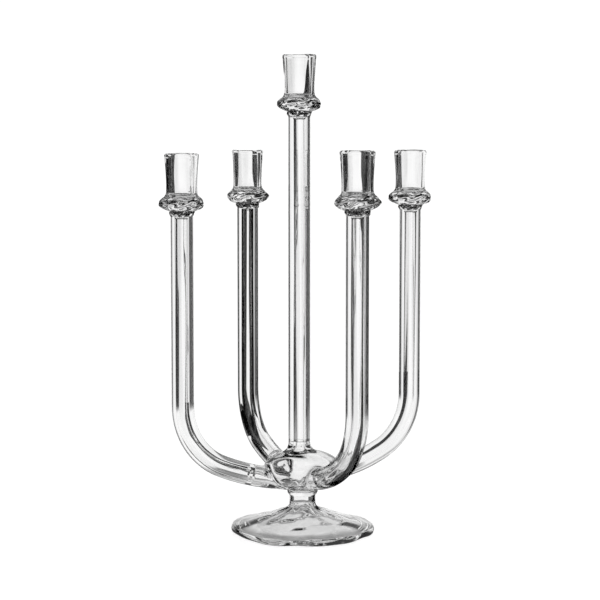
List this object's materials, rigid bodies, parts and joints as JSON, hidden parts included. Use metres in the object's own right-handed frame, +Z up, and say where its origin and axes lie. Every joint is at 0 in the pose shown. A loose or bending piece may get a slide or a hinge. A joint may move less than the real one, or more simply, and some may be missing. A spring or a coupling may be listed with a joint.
{
  "type": "menorah",
  "caption": "Free-standing candelabrum of clear worked glass: a tall centre stem and bent tube arms rise from a hollow bulb on a blown foot, each ending in a drip ring and candle cup.",
  "frame": {"origin": "centre of the foot, on the table", "axes": "+Z up along the stem; the arms lie along -Y (front), -X (left), +Y (back) and +X (right)"},
  "size_m": [0.299, 0.299, 0.4845],
  "materials": {
    "tube_glass": "clear colourless thick-walled tube, fire-polished",
    "cup_glass": "clear colourless, faint upright flutes, fire-polished lip",
    "solid_glass": "clear colourless solid glass, fire-polished",
    "blown_glass": "clear colourless blown glass with slight waves and streaks"
  },
  "bodies": {
    "root": {"foot": "blown_glass", "merese": "solid_glass", "hub": "blown_glass", "centre_stem": "tube_glass", "arm_front": "tube_glass", "arm_left": "tube_glass", "arm_back": "tube_glass", "arm_right": "tube_glass", "neck_bead_centre": "solid_glass", "drip_ring_centre": "solid_glass", "candle_cup_centre": "cup_glass", "neck_bead_front": "solid_glass", "drip_ring_front": "solid_glass", "candle_cup_front": "cup_glass", "neck_bead_left": "solid_glass", "drip_ring_left": "solid_glass", "candle_cup_left": "cup_glass", "neck_bead_back": "solid_glass", "drip_ring_back": "solid_glass", "candle_cup_back": "cup_glass", "neck_bead_right": "solid_glass", "drip_ring_right": "solid_glass", "candle_cup_right": "cup_glass"}
  },
  "joints": []
}
